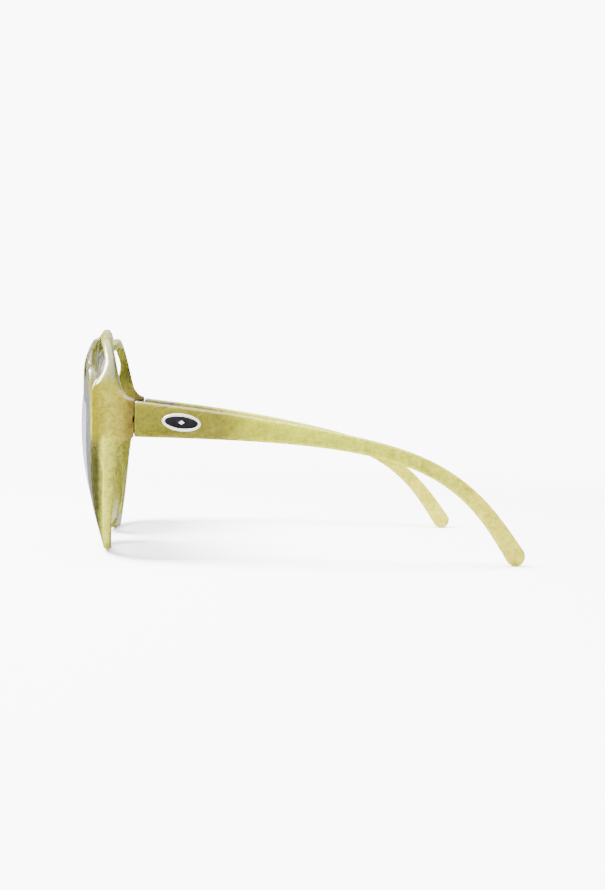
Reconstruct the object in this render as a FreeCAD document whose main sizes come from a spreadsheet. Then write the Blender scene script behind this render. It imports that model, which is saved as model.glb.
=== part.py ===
import FreeCAD, Part
import math
import os

from FreeCAD import Placement, Rotation, Vector

# Oversized cat eye sunglasses with a moulded resin frame, in millimetres.
# +X is the wearer's left, +Y points back towards the ears and +Z is up. The glasses stand on the
# lowest points of both rims and on the tips of both temples, and the origin is the centre of
# their bounding box, on the surface that they stand on. The right side mirrors the left.
#
# Depths are Y distances from the datum plane, which goes through the lowest points of the rims.

SIZES = {
    # places
    "datum": -55.6,
    "lensx": 35.4,
    "lensz": 32.05,
    # lens outline
    "halfwide": 27.0,
    "halftall": 28.0,
    "flare": 0.05,
    "sweep": 0.055,
    "undersweep": 0.1,
    "squareness": 2.25,
    # lens body
    "lensfront": -9.5,
    "lensapex": 39.5,
    "wrapslope": 0.08,
    "lensthick": 1.8,
    "verticalcurve": 86.0,
    "sidecurve": 200.0,
    "tonguestep": 0.55,
    "tonguethick": 0.7,
    "tonguewide": 1.1,
    "lensplay": 0.08,
    "groovewall": 0.4,
    # rims, outer arcs and nose pads
    "rimwide": 2.4,
    "arcwide": 2.6,
    "webwide": 1.6,
    "rimstep": 0.5,
    "browwide": 3.3,
    "wingwide": 4.4,
    "wingturn": 26.0,
    "padlean": 0.18,
    "padstep": 0.6,
    "bridgefront": -11.2,
    "bridgedeep": 4.0,
    # end pieces
    "hingeline": 7.1,
    "jointlow": 35.4,
    "jointhigh": 45.7,
    "seatx": 65.35,
    "outerx": 69.3,
    "seatdepth": -2.2,
    "seattall": 10.4,
    "notchtall": 1.5,
    "notchwide": 0.5,
    "notchdeep": 2.2,
    # hinges
    "hingez": 40.2,
    "pinx": 63.9,
    "piny": 7.2,
    "knuckleradius": 1.4,
    "knuckletall": 1.5,
    "knucklegap": 0.06,
    "knuckleplay": 0.12,
    "pinradius": 0.6,
    "pinplay": 0.03,
    "pinhead": 1.1,
    "pinheadtall": 0.5,
    "leafthick": 0.8,
    "frontleaf": 7.2,
    "templeleaf": 11.0,
    "screwradius": 0.5,
    "screwlong": 2.8,
    "screwhead": 0.95,
    "screwheadtall": 0.4,
    "slotwide": 0.25,
    "slotdeep": 0.2,
    # temples
    "templegap": 0.2,
    "tipthick": 2.6,
    "tipx": 61.6,
    "tipdepth": 119.5,
    "tipradius": 2.9,
    "tipslope": -53.0,
    "templeedge": 0.9,
    # emblems
    "emblemy": 20.5,
    "emblemz": 39.8,
    "emblemtilt": 5.0,
    "emblemlong": 11.0,
    "emblemtall": 5.0,
    "emblemthick": 0.5,
    "emblemproud": 0.2,
    "enamelborder": 0.8,
    "enamelthick": 0.25,
    "ornamentlong": 2.0,
    "ornamenttall": 1.3,
    "studradius": 0.5,
    "studlong": 1.4,
    "studspacing": 5.0,
}

doc = FreeCAD.newDocument("sunglasses")
sheet = doc.addObject("Spreadsheet::Sheet", "Sizes")
for row, (alias, value) in enumerate(SIZES.items(), start=1):
    sheet.set(f"A{row}", alias)
    sheet.set(f"B{row}", str(value))
    sheet.setAlias(f"B{row}", alias)
doc.recompute()


def size(alias):
    """One driving dimension, read back from the sheet."""
    return float(getattr(sheet, alias))


def depth(y):
    """The Y of a depth counted from the datum plane."""
    return size("datum") + y


# ------------------------------------------------------------------- outlines round the lens


def signed_power(value, exponent):
    return math.copysign(abs(value) ** exponent, value)


def lens_point(angle):
    """A point of the lens outline; 0 is the outer side and a quarter turn is the top."""
    exponent = 2.0 / size("squareness")
    out = signed_power(math.cos(angle), exponent)
    up = signed_power(math.sin(angle), exponent)
    x = size("lensx") + size("halfwide") * out * (1 + size("flare") * up)
    sweep = size("sweep") if up > 0 else size("undersweep")
    z = size("lensz") + size("halftall") * (up + sweep * out * abs(up))
    return Vector(x, 0, z)


def outward(angle):
    """The unit normal of the lens outline, away from the lens."""
    step = math.radians(2.0)
    along = lens_point(angle + step) - lens_point(angle - step)
    return Vector(along.z, 0, -along.x).normalize()


def bump(angle, centre, below, above):
    """1 at the centre, falling smoothly to 0 below and above it; all but the angle in degrees."""
    turn = (math.degrees(angle) - centre + 180.0) % 360.0 - 180.0
    reach = below if turn < 0 else above
    if abs(turn) >= reach:
        return 0.0
    return 0.5 + 0.5 * math.cos(math.pi * turn / reach)


def opening(angle):
    """How far the rim and the outer arc part: 1 in the middle of each teardrop cut-out."""
    upper = bump(angle, 52.0, 14.0, 45.0)
    lower = bump(angle, -34.0, 33.0, 33.0)
    return min(1.0, 1.6 * max(upper, lower))


def outer_width(angle):
    """From the lens outline to the outside of the frame."""
    swell = (0.5 + 0.5 * math.cos(angle - math.radians(size("wingturn")))) ** 1.5
    return size("browwide") + size("wingwide") * swell


def rim_width(angle):
    """The rim stays a little inside the outer surface, which belongs to the outer arc."""
    merged = size("rimwide") + size("webwide") * (1 - opening(angle))
    return min(merged, outer_width(angle) - size("rimstep"))


def arc_inner(angle):
    """The inner edge of the outer arc, which tapers away towards the nose."""
    taper = 0.6
    presence = min(1.0, 2.5 * bump(angle, 12.0, 128.0, 128.0))
    wide = size("arcwide") + size("webwide") * (1 - opening(angle)) + taper
    return outer_width(angle) + taper - wide * presence


def outline(width, count=72):
    """A closed smooth wire that runs round the lens at a given distance from its edge."""
    points = []
    for i in range(count):
        angle = 2 * math.pi * (i + 0.5) / count
        away = width(angle) if callable(width) else width
        points.append(lens_point(angle) + outward(angle) * away)
    curve = Part.BSplineCurve()
    curve.interpolate(Points=points, PeriodicFlag=True)
    return Part.Wire(curve.toShape())


def through(wire, near=-30.0, far=30.0):
    """A closed XZ wire, pushed along Y from depth near to depth far."""
    face = Part.Face(wire)
    face.translate(Vector(0, depth(near), 0))
    return face.extrude(Vector(0, far - near, 0))


def sideways(wire, low, high):
    """A closed YZ wire, pushed along X."""
    face = Part.Face(wire)
    face.translate(Vector(low, 0, 0))
    return face.extrude(Vector(high - low, 0, 0))


def smooth(points):
    """An open smooth edge through a few points."""
    curve = Part.BSplineCurve()
    curve.interpolate(Points=points)
    return curve.toShape()


def straight(start, end):
    return Part.LineSegment(start, end).toShape()


def side_points(pairs):
    """Points of a side view, given as (depth, z)."""
    return [Vector(0, depth(y), z) for y, z in pairs]


def closed(edges):
    return Part.Wire(Part.__sortEdges__(edges))


def mirrored(shape):
    return shape.mirror(Vector(0, 0, 0), Vector(1, 0, 0))


# ------------------------------------------------------------------- lens and rim surfaces


def swept_back(shape):
    """Turn a shape about the upright line through the lens, so that its outer side goes back."""
    turn = math.degrees(math.atan(size("wrapslope")))
    shape.rotate(Vector(size("lensx"), depth(0), 0), Vector(0, 0, 1), turn)
    return shape


def barrel_shell(front, thick):
    """A toric shell of the lens, curved strongly up and down and gently from side to side."""
    x = size("lensx")
    reach = math.radians(36.0)
    half_turn = 11.0
    centre = Vector(x, depth(front + size("verticalcurve")), size("lensapex"))
    arcs = []
    for radius in (size("verticalcurve"), size("verticalcurve") - thick):
        spots = []
        for turn in (-reach, 0.0, reach):
            spots.append(centre + Vector(0, -radius * math.cos(turn), radius * math.sin(turn)))
        arcs.append(spots)
    outer, inner = arcs
    edges = [Part.Arc(*outer).toShape(), Part.Arc(*inner).toShape()]
    edges += [straight(outer[0], inner[0]), straight(outer[2], inner[2])]
    face = Part.Face(closed(edges))
    pivot = Vector(x, depth(front + size("sidecurve")), 0)
    face.rotate(pivot, Vector(0, 0, 1), -half_turn)
    return swept_back(face.revolve(pivot, Vector(0, 0, 1), 2 * half_turn))


# the rim's front and back in section through the middle of the lens, as (depth, z)
RIM_FRONT = [(-1.2, -2.0), (-3.0, 4.0), (-5.2, 12.2), (-7.0, 24.0), (-7.6, 38.0), (-8.2, 49.0)]
RIM_FRONT += [(-8.85, 54.5), (-7.9, 60.0), (-4.4, 68.0)]
RIM_BACK = [(0.6, -2.0), (-0.5, 4.0), (-2.0, 14.0), (-3.2, 26.0), (-4.3, 40.0), (-5.3, 55.0), (-4.9, 61.0)]
RIM_BACK += [(-2.2, 68.0)]


def rim_slab(step, back):
    """What lies between the rim's front, moved back by a step, and a back line; swept back."""
    half_long = 90.0
    front_line = smooth(side_points([(y + step, z) for y, z in RIM_FRONT]))
    back_line = smooth(side_points(back))
    edges = [front_line, back_line]
    for k in (0, -1):
        edges.append(straight(*side_points([(RIM_FRONT[k][0] + step, RIM_FRONT[k][1]), back[k]])))
    middle = size("lensx")
    return swept_back(sideways(closed(edges), middle - half_long, middle + half_long))


# ------------------------------------------------------------------- the moulded front


def side_profile():
    """The outer arc and the end piece seen from the side, as a closed YZ wire."""
    hinge = size("hingeline")
    low = (hinge, size("jointlow"))
    high = (hinge, size("jointhigh"))
    back_low = [(0.4, -2.0), (1.2, 10.5), (2.1, 24.5), (2.7, 30.3), (4.5, 33.9), low]
    back_high = [high, (5.1, 46.7), (3.2, 48.8), (2.2, 51.8), (0.7, 58.6), (-0.3, 63.7), (-1.6, 68.0)]
    front_high = [(-2.9, 68.0), (-3.7, 63.5), (-2.6, 57.2), (-3.2, 52.3)]
    front_mid = [(-3.2, 52.3), (-4.6, 49.6), (-4.9, 47.0), (-4.9, 36.0), (-4.0, 33.0), (-1.3, 26.5)]
    front_low = [(-1.3, 26.5), (-1.3, 19.5), (-1.5, 12.7), (-1.9, -2.0)]
    edges = [smooth(side_points(run)) for run in (back_low, back_high, front_high, front_low)]
    joins = [(low, high), (back_high[-1], front_high[0]), (front_low[-1], back_low[0])]
    joins += list(zip(front_mid[:-1], front_mid[1:]))
    edges += [straight(*side_points(pair)) for pair in joins]
    return closed(edges)


def nose_pad():
    """A fin that stands back from the nasal side of the rim and leans away from the nose."""
    profile = [(-6.0, 33.0), (-1.5, 31.5), (1.6, 28.0), (2.5, 22.0)]
    profile += [(2.6, 16.0), (1.4, 8.6), (-2.6, 4.0)]
    edge = side_points(profile)
    front = -9.5
    closing = [edge[-1]] + side_points([(front, 4.0), (front, 33.0)]) + [edge[0]]
    silhouette = sideways(Part.Wire([smooth(edge), Part.makePolygon(closing)]), 0.0, size("lensx"))
    band = Part.Face(outline(2.9)).cut(Part.Face(outline(0.7)))
    band.translate(Vector(-size("padstep"), depth(front), 0))
    length = 13.0
    fin = band.extrude(Vector(size("padlean") * length, length, 0))
    far_back = [(20.0, z) for y, z in RIM_FRONT]
    return fin.common([silhouette]).common(rim_slab(0.4, far_back))


def bridge():
    """The saddle between the rims, a little proud of them at the front."""
    reach = 17.0
    half_brow = [(reach, 60.0), (8.0, 58.3)]
    brow = [Vector(-x, 0, z) for x, z in half_brow] + [Vector(0, 0, 57.6)]
    brow += [Vector(x, 0, z) for x, z in reversed(half_brow)]
    foot = [Vector(-8.6, 0, 43.0), Vector(0, 0, 50.8), Vector(8.6, 0, 43.0)]
    edges = [smooth(brow), Part.Arc(*foot).toShape()]
    edges += [straight(foot[0], brow[0]), straight(foot[-1], brow[-1])]
    elevation = through(closed(edges))
    front = size("bridgefront")
    back = front + size("bridgedeep")
    arcs = []
    for middle, end in ((front, front + 1.2), (back, back + 0.9)):
        spots = [Vector(x, depth(y), 0) for x, y in ((-reach, end), (0, middle), (reach, end))]
        arcs.append(spots)
    plan = [Part.Arc(*spots).toShape() for spots in arcs]
    plan += [straight(arcs[0][0], arcs[1][0]), straight(arcs[0][2], arcs[1][2])]
    return elevation.common(Part.Face(closed(plan)).extrude(Vector(0, 0, 100.0)))


def lens_groove():
    play = size("lensplay")
    front = size("lensfront") + size("tonguestep") - play
    shell = barrel_shell(front, size("tonguethick") + 2 * play)
    return through(outline(size("tonguewide") + play)).common(shell)


def cleared(shape, cutters):
    """A shape after each cutter in turn."""
    for cutter in cutters:
        shape = shape.cut(cutter)
    return shape


def front_half():
    """The left half of the moulding with its lens groove, before the hinge seat is cut."""
    window = through(outline(0.0))
    groove = lens_groove()
    rim = cleared(through(outline(rim_width)).common(rim_slab(0.0, RIM_BACK)), [window, groove])
    pad = cleared(nose_pad(), [window, groove])
    arc = through(outline(outer_width)).cut(through(outline(arc_inner)))
    arc = arc.common(sideways(side_profile(), 20.0, 80.0))
    arc = arc.cut(through(outline(size("tonguewide") + size("groovewall"))))
    return rim.fuse([arc, pad])


def end_piece_waste():
    """What is cut off the outside of an end piece, so that its side face runs out to the hinge."""
    outer = size("outerx")
    far = outer + 20.0
    near, back = -9.0, 20.0
    plan = [(66.2, near), (66.6, -5.4), (outer, size("hingeline"))]
    plan += [(outer, back), (far, back), (far, near)]
    corners = [Vector(x, depth(y), 0) for x, y in plan]
    return Part.Face(Part.makePolygon(corners + corners[:1])).extrude(Vector(0, 0, 100.0))


def notch(start):
    """A small slot in the outside of a joint face, level with the middle of the hinge."""
    deep = size("notchdeep")
    corner = Vector(size("outerx") - deep, depth(start), size("hingez") - size("notchtall") / 2)
    return Part.makeBox(deep + 1.0, size("notchwide"), size("notchtall"), corner)


def front_moulding(screws):
    """Both halves and the bridge in one solid, with every seat, groove and screw hole."""
    room = 12.0
    seat_foot = size("hingez") - size("seattall") / 2
    seat_corner = Vector(size("seatx") - room, depth(size("seatdepth")), seat_foot)
    seat = Part.makeBox(room, room, size("seattall"), seat_corner)
    groove = lens_groove()
    slot = notch(size("hingeline") - size("notchwide"))
    half = cleared(front_half(), [end_piece_waste(), seat, slot, screws])
    window = through(outline(0.0))
    saddle = cleared(bridge(), [window, mirrored(window), groove, mirrored(groove)])
    return half.fuse([mirrored(half), saddle]).removeSplitter().Solids[0]


def lens():
    """A lens with a thin tongue round its edge, which sits in the groove of the rim."""
    play = size("lensplay")
    body = through(outline(-play)).common(barrel_shell(size("lensfront"), size("lensthick")))
    tongue = barrel_shell(size("lensfront") + size("tonguestep"), size("tonguethick"))
    tongue = through(outline(size("tonguewide"))).common(tongue)
    return body.fuse(tongue).removeSplitter().Solids[0]


# ------------------------------------------------------------------- document helpers


def named(obj, label):
    obj.Label = label
    return obj


def feature(label, shape):
    obj = doc.addObject("Part::Feature", label)
    obj.Shape = shape
    obj.Placement = Placement()
    return named(obj, label)


def bind(obj, **expressions):
    for path, expression in expressions.items():
        obj.setExpression(path.replace("__", "."), expression)


def cylinder(name, radius, height, x, y, z, along=Rotation()):
    """A cylinder whose sizes and place are expressions of the sheet."""
    obj = doc.addObject("Part::Cylinder", name)
    obj.Placement = Placement(Vector(), along)
    bind(obj, Radius=radius, Height=height)
    bind(obj, Placement__Base__x=x, Placement__Base__y=y, Placement__Base__z=z)
    return obj


def block(name, length, width, height, x, y, z):
    """A box whose sizes and place are expressions of the sheet."""
    obj = doc.addObject("Part::Box", name)
    bind(obj, Length=length, Width=width, Height=height)
    bind(obj, Placement__Base__x=x, Placement__Base__y=y, Placement__Base__z=z)
    return obj


def join(name, shapes):
    obj = doc.addObject("Part::MultiFuse", name)
    obj.Shapes = shapes
    return obj


def subtract(name, base, tools):
    tool = tools[0] if len(tools) == 1 else join(name + "Tools", tools)
    obj = doc.addObject("Part::Cut", name)
    obj.Base = base
    obj.Tool = tool
    return obj


def mirror(source, label):
    obj = doc.addObject("Part::Mirroring", label)
    obj.Source = source
    obj.Normal = Vector(1, 0, 0)
    return named(obj, label)


def sketch(body, plane, offset, geometry):
    """A sketch on one of the body's own planes, moved along that plane's normal."""
    planes = {origin.Role: origin for origin in body.Origin.OriginFeatures}
    drawing = body.newObject("Sketcher::SketchObject", body.Name + "Sketch")
    drawing.AttachmentSupport = (planes[plane], [""])
    drawing.MapMode = "FlatFace"
    if offset:
        drawing.setExpression("AttachmentOffset.Base.z", offset)
    drawing.addGeometry(geometry, False)
    return drawing


# ------------------------------------------------------------------- hinges and screws

OUTWARD = Rotation(Vector(0, 1, 0), 90)
HINGE_Y = "Sizes.datum + Sizes.piny"
STACK = "(5 * Sizes.knuckletall + 4 * Sizes.knucklegap)"
STACK_FOOT = f"Sizes.hingez - {STACK} / 2"
LEAF_X = "Sizes.seatx - Sizes.leafthick"


def knuckle(name, level, radius, extra):
    """One knuckle of the barrel, or the clearance round it when extra is the gap."""
    height = f"Sizes.knuckletall + 2 * {extra}"
    foot = f"{STACK_FOOT} + {level} * (Sizes.knuckletall + Sizes.knucklegap) - {extra}"
    return cylinder(name, radius, height, "Sizes.pinx", HINGE_Y, foot)


def hinge_leaf(name, plate_length, plate_start, own_levels, other_levels, holes):
    """A plate with its knuckles, cut clear of the other leaf's knuckles and bored for the pin."""
    plate = name + "Plate"
    plate = block(plate, "Sizes.leafthick", plate_length, STACK, LEAF_X, plate_start, STACK_FOOT)
    own = [knuckle(f"{name}Knuckle{i}", i, "Sizes.knuckleradius", "0") for i in own_levels]
    reach = "Sizes.knuckleradius + Sizes.knuckleplay"
    other = [knuckle(f"{name}Room{i}", i, reach, "Sizes.knucklegap") for i in other_levels]
    wide = "Sizes.pinradius + Sizes.pinplay"
    bore = cylinder(name + "Bore", wide, f"{STACK} + 4", "Sizes.pinx", HINGE_Y, f"{STACK_FOOT} - 2")
    return subtract(name, join(name + "Body", [plate] + own), other + [bore] + holes)


def leaf_screw(name, y, z):
    """A small slotted screw that goes outwards through a leaf into the resin."""
    shank = cylinder(name + "Shank", "Sizes.screwradius", "Sizes.screwlong", LEAF_X, y, z, OUTWARD)
    head = cylinder(name + "Head", "Sizes.screwhead", "Sizes.screwheadtall", LEAF_X, y, z, OUTWARD)
    return join(name + "Blank", [shank, head])


def slotted(name, blank, y, z):
    slot = block(
        name + "Slot",
        "Sizes.slotdeep",
        "3 * Sizes.screwhead",
        "Sizes.slotwide",
        LEAF_X,
        f"{y} - 1.5 * Sizes.screwhead",
        f"{z} - Sizes.slotwide / 2",
    )
    return subtract(name, blank, [slot])


def screw_pair(name, spots):
    """The blanks that cut the holes, and the finished slotted screws as one node."""
    blanks = []
    screws = []
    for i, (y, z) in enumerate(spots):
        blanks.append(leaf_screw(f"{name}{i}", y, z))
        screws.append(slotted(f"{name}Slotted{i}", blanks[-1], y, z))
    return blanks, join(name, screws)


# the front leaf has its screws one above the other, the temple leaf one behind the other
FRONT_SPOTS = [
    (f"{HINGE_Y} - 3.6", "Sizes.hingez + 1.9"),
    (f"{HINGE_Y} - 3.6", "Sizes.hingez - 1.9"),
]
TEMPLE_SPOTS = [
    (f"{HINGE_Y} + 4.0", "Sizes.hingez"),
    (f"{HINGE_Y} + 8.6", "Sizes.hingez"),
]
OUTER_LEVELS = (0, 2, 4)
INNER_LEVELS = (1, 3)

front_blanks, front_screws = screw_pair("FrontScrews", FRONT_SPOTS)
temple_blanks, temple_screws = screw_pair("TempleScrews", TEMPLE_SPOTS)
leaf_start = f"{HINGE_Y} - Sizes.frontleaf"
front_leaf = hinge_leaf(
    "FrontLeaf", "Sizes.frontleaf", leaf_start, OUTER_LEVELS, INNER_LEVELS, front_blanks
)
temple_leaf = hinge_leaf(
    "TempleLeaf", "Sizes.templeleaf", HINGE_Y, INNER_LEVELS, OUTER_LEVELS, temple_blanks
)

pin_foot = f"{STACK_FOOT} + 0.1"
pin_top = f"{STACK_FOOT} + {STACK}"
pin = cylinder("PinShank", "Sizes.pinradius", f"{STACK} + 0.1", "Sizes.pinx", HINGE_Y, pin_foot)
pin_seat = f"{pin_top} + 0.02"
pin_head = cylinder("PinHead", "Sizes.pinhead", "Sizes.pinheadtall", "Sizes.pinx", HINGE_Y, pin_seat)
pin_slot = block(
    "PinSlot",
    "3 * Sizes.pinhead",
    "Sizes.slotwide",
    "Sizes.slotdeep",
    "Sizes.pinx - 1.5 * Sizes.pinhead",
    f"{HINGE_Y} - Sizes.slotwide / 2",
    f"{pin_seat} + Sizes.pinheadtall - Sizes.slotdeep",
)
hinge_screw = subtract("HingeScrew", join("PinBlank", [pin, pin_head]), [pin_slot])


# ------------------------------------------------------------------- emblems

emblem_x = size("outerx") + size("emblemproud") - size("emblemthick")
EMBLEM_PLACE = Placement(
    Vector(emblem_x, depth(size("emblemy")), size("emblemz")),
    Rotation(Vector(1, 0, 0), -size("emblemtilt")),
)


def emblem_body(name):
    body = doc.addObject("PartDesign::Body", name)
    body.Placement = EMBLEM_PLACE
    return body


def oval(border):
    long_radius = size("emblemlong") / 2 - border
    short_radius = size("emblemtall") / 2 - border
    return [Part.Ellipse(Vector(0, 0, 0), long_radius, short_radius)]


def lozenge():
    half_long = size("ornamentlong") / 2
    half_tall = size("ornamenttall") / 2
    spots = ((half_long, 0), (0, half_tall), (-half_long, 0), (0, -half_tall))
    corners = [Vector(x, y, 0) for x, y in spots]
    return [Part.LineSegment(a, b) for a, b in zip(corners, corners[1:] + corners[:1])]


def pad(body, profile, length):
    solid = body.newObject("PartDesign::Pad", body.Name + "Pad")
    solid.Profile = profile
    solid.setExpression("Length", length)
    return solid


def pocket(body, profile, length=None):
    hollow = body.newObject("PartDesign::Pocket", body.Name + "Pocket")
    hollow.Profile = profile
    if length:
        hollow.setExpression("Length", length)
    else:
        hollow.Type = "ThroughAll"
        hollow.SideType = "Symmetric"
    return hollow


plate_body = emblem_body("EmblemPlate")
pad(plate_body, sketch(plate_body, "YZ_Plane", None, oval(0.0)), "Sizes.emblemthick")
doc.recompute()
enamel_sketch = sketch(plate_body, "YZ_Plane", "Sizes.emblemthick", oval(size("enamelborder")))
pocket(plate_body, enamel_sketch, "Sizes.enamelthick")
studs = []
for side in (-1, 1):
    middle = Vector(side * size("studspacing") / 2, 0, 0)
    studs.append(Part.Circle(middle, Vector(0, 0, 1), size("studradius")))
stud_pad = pad(plate_body, sketch(plate_body, "YZ_Plane", None, studs), "Sizes.studlong")
stud_pad.Reversed = True

enamel_body = emblem_body("EmblemEnamel")
enamel_foot = "Sizes.emblemthick - Sizes.enamelthick"
enamel_profile = sketch(enamel_body, "YZ_Plane", enamel_foot, oval(size("enamelborder")) + lozenge())
pad(enamel_body, enamel_profile, "Sizes.enamelthick")

ornament_body = emblem_body("EmblemOrnament")
pad(ornament_body, sketch(ornament_body, "YZ_Plane", enamel_foot, lozenge()), "Sizes.enamelthick")


# ------------------------------------------------------------------- temples


def temple_side():
    """The temple seen from the side: a bar that curves down behind the ear to a round tip."""
    front = size("hingeline") + size("templegap")
    radius = size("tipradius")
    # the tip circle touches the floor, and the temple reaches it on a steep slope
    centre = Vector(depth(size("tipdepth")), radius, 0)
    slope = math.radians(size("tipslope"))
    along = Vector(math.cos(slope), math.sin(slope), 0)
    above = Vector(-along.y, along.x, 0)
    top_end = centre + above * radius
    low_end = centre - above * radius
    top = [(front, 45.6), (42.0, 41.85), (70.0, 37.2), (95.0, 29.6), (109.6, 19.3)]
    low = [(front, 35.4), (42.0, 34.85), (70.0, 32.35), (95.0, 24.6), (106.0, 16.2)]
    edges = []
    starts = []
    for run, end in ((top, top_end), (low, low_end)):
        spots = [Vector(depth(y), z, 0) for y, z in run] + [end]
        curve = Part.BSplineCurve()
        curve.interpolate(Points=spots)
        edges.append(curve)
        starts.append(spots[0])
    edges.append(Part.Arc(top_end, centre + along * radius, low_end))
    edges.append(Part.LineSegment(*starts))
    return edges


def waste_beside(run, far):
    """The outline of what is cut away on one side of the temple, seen from above."""
    front = depth(size("hingeline") - 3.0)
    end = depth(130.0)
    spots = [Vector(x, depth(y), 0) for x, y in run]
    curve = Part.BSplineCurve()
    curve.interpolate(Points=spots, InitialTangent=Vector(0, 1, 0), FinalTangent=spots[2] - spots[1])
    corners = [Vector(spots[-1].x, end, 0), Vector(far, end, 0), Vector(far, front, 0)]
    corners.append(Vector(spots[0].x, front, 0))
    path = [spots[-1]] + corners + [spots[0]]
    return [curve] + [Part.LineSegment(a, b) for a, b in zip(path, path[1:])]


def temple_waste():
    """Everything beside the temple seen from above, which leaves a bar that thins to its tip."""
    tip = 122.6
    outer = [(size("outerx"), 32.0), (67.4, 65.0), (size("tipx"), tip)]
    inner = [(size("seatx"), 19.0), (64.2, 50.0), (size("tipx") - size("tipthick"), tip)]
    return waste_beside(outer, size("outerx") + 12.0) + waste_beside(inner, size("tipx") - 16.0)


temple_body = doc.addObject("PartDesign::Body", "TempleBar")
temple_outline = sketch(temple_body, "YZ_Plane", "Sizes.tipx - 8", temple_side())
pad(temple_body, temple_outline, "Sizes.outerx - Sizes.tipx + 12")
doc.recompute()
temple_trim = pocket(temple_body, sketch(temple_body, "XY_Plane", None, temple_waste()))
doc.recompute()
trimmed_edges = enumerate(temple_trim.Shape.Edges, start=1)
long_edges = [f"Edge{i}" for i, edge in trimmed_edges if edge.Length > 80.0]
rounding = temple_body.newObject("PartDesign::Fillet", "TempleRounding")
rounding.Base = (temple_trim, long_edges)
rounding.setExpression("Radius", "Sizes.templeedge")
doc.recompute()

plate_seat = emblem_body("EmblemSeat")
pad(plate_seat, sketch(plate_seat, "YZ_Plane", None, oval(0.0)), "Sizes.emblemthick")
stud_seat = pad(plate_seat, sketch(plate_seat, "YZ_Plane", None, studs), "Sizes.studlong")
stud_seat.Reversed = True
temple_notch = feature("TempleNotch", notch(size("hingeline") + size("templegap")))
temple = subtract("Temple", temple_body, [plate_seat, temple_notch] + temple_blanks)


# ------------------------------------------------------------------- nodes

doc.recompute()
screw_holes = front_blanks[0].Shape.fuse(front_blanks[1].Shape)
nodes = [feature("frame_front", front_moulding(screw_holes))]
nodes += [feature("lens_left", lens())]
nodes += [mirror(nodes[-1], "lens_right")]
PAIRS = {
    "temple": temple,
    "hinge_front_leaf": front_leaf,
    "hinge_temple_leaf": temple_leaf,
    "hinge_screw": hinge_screw,
    "front_leaf_screws": front_screws,
    "temple_leaf_screws": temple_screws,
    "emblem_plate": plate_body,
    "emblem_enamel": enamel_body,
    "emblem_ornament": ornament_body,
}
for label, source in PAIRS.items():
    nodes.append(named(source, label + "_left"))
    nodes.append(mirror(source, label + "_right"))
doc.recompute()

for obj in doc.Objects:
    if any(word in state for state in obj.State for word in ("Invalid", "Error")):
        raise SystemExit(f"{obj.Label} did not build: {obj.State}")
for node in nodes:
    if node.Shape.isNull() or not node.Shape.isValid():
        raise SystemExit(f"{node.Label} has no valid shape")

os.makedirs("parts", exist_ok=True)
for node in nodes:
    node.Shape.exportStep(f"parts/{node.Label}.step")
    print(node.Label, len(node.Shape.Solids), round(node.Shape.Volume, 2))
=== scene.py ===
import math

import bmesh
import bpy
import numpy as np
from mathutils import Matrix, Vector


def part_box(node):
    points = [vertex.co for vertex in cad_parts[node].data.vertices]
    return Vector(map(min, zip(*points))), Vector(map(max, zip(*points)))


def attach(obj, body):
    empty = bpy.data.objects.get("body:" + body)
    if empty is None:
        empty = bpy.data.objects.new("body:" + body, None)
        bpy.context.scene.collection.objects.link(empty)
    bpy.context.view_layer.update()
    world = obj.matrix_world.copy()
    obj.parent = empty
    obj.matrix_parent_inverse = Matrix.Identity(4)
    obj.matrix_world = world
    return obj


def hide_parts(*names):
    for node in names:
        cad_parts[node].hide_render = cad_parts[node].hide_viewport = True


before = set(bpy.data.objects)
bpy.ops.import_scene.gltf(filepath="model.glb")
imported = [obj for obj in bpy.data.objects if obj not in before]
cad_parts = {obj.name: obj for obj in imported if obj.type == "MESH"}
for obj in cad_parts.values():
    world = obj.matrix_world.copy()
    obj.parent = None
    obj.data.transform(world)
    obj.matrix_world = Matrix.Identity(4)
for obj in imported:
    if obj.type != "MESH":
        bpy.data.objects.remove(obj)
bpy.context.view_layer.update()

# Cat eye sunglasses in moulded marbled resin. Everything is in metres in the frame's own axes:
# +X is the wearer's left, +Y points back to the ears, +Z is up. Shapes are worked out in
# millimetres, with depths counted back from the plane through the lowest point of the rims,
# and placed() turns them into metres.

MM = 0.001
SIDES = {"left": 1.0, "right": -1.0}

temple_low, temple_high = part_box("temple_left")
TEMPLE_START = 7.3
DATUM = temple_low.y / MM - TEMPLE_START
OUTER_X = temple_high.x / MM
HINGE_LINE = 7.1
HINGE_Z = 40.2
SEAT_X = 65.35


def placed(points):
    """Points of (x, depth, z) in millimetres, as metres in the frame's axes."""
    points = np.array(points, float)
    points[..., 1] += DATUM
    return points * MM


# ------------------------------------------------------------------- small tools


def smoothstep(value):
    value = np.clip(value, 0.0, 1.0)
    return value * value * (3.0 - 2.0 * value)


def bump(degrees, centre, below, above):
    """1 at the centre, falling smoothly to 0 at the given reach below and above it."""
    turn = (degrees - centre + 180.0) % 360.0 - 180.0
    reach = np.where(turn < 0, below, above)
    inside = np.abs(turn) < reach
    return np.where(inside, 0.5 + 0.5 * np.cos(np.pi * turn / reach), 0.0)


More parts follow.
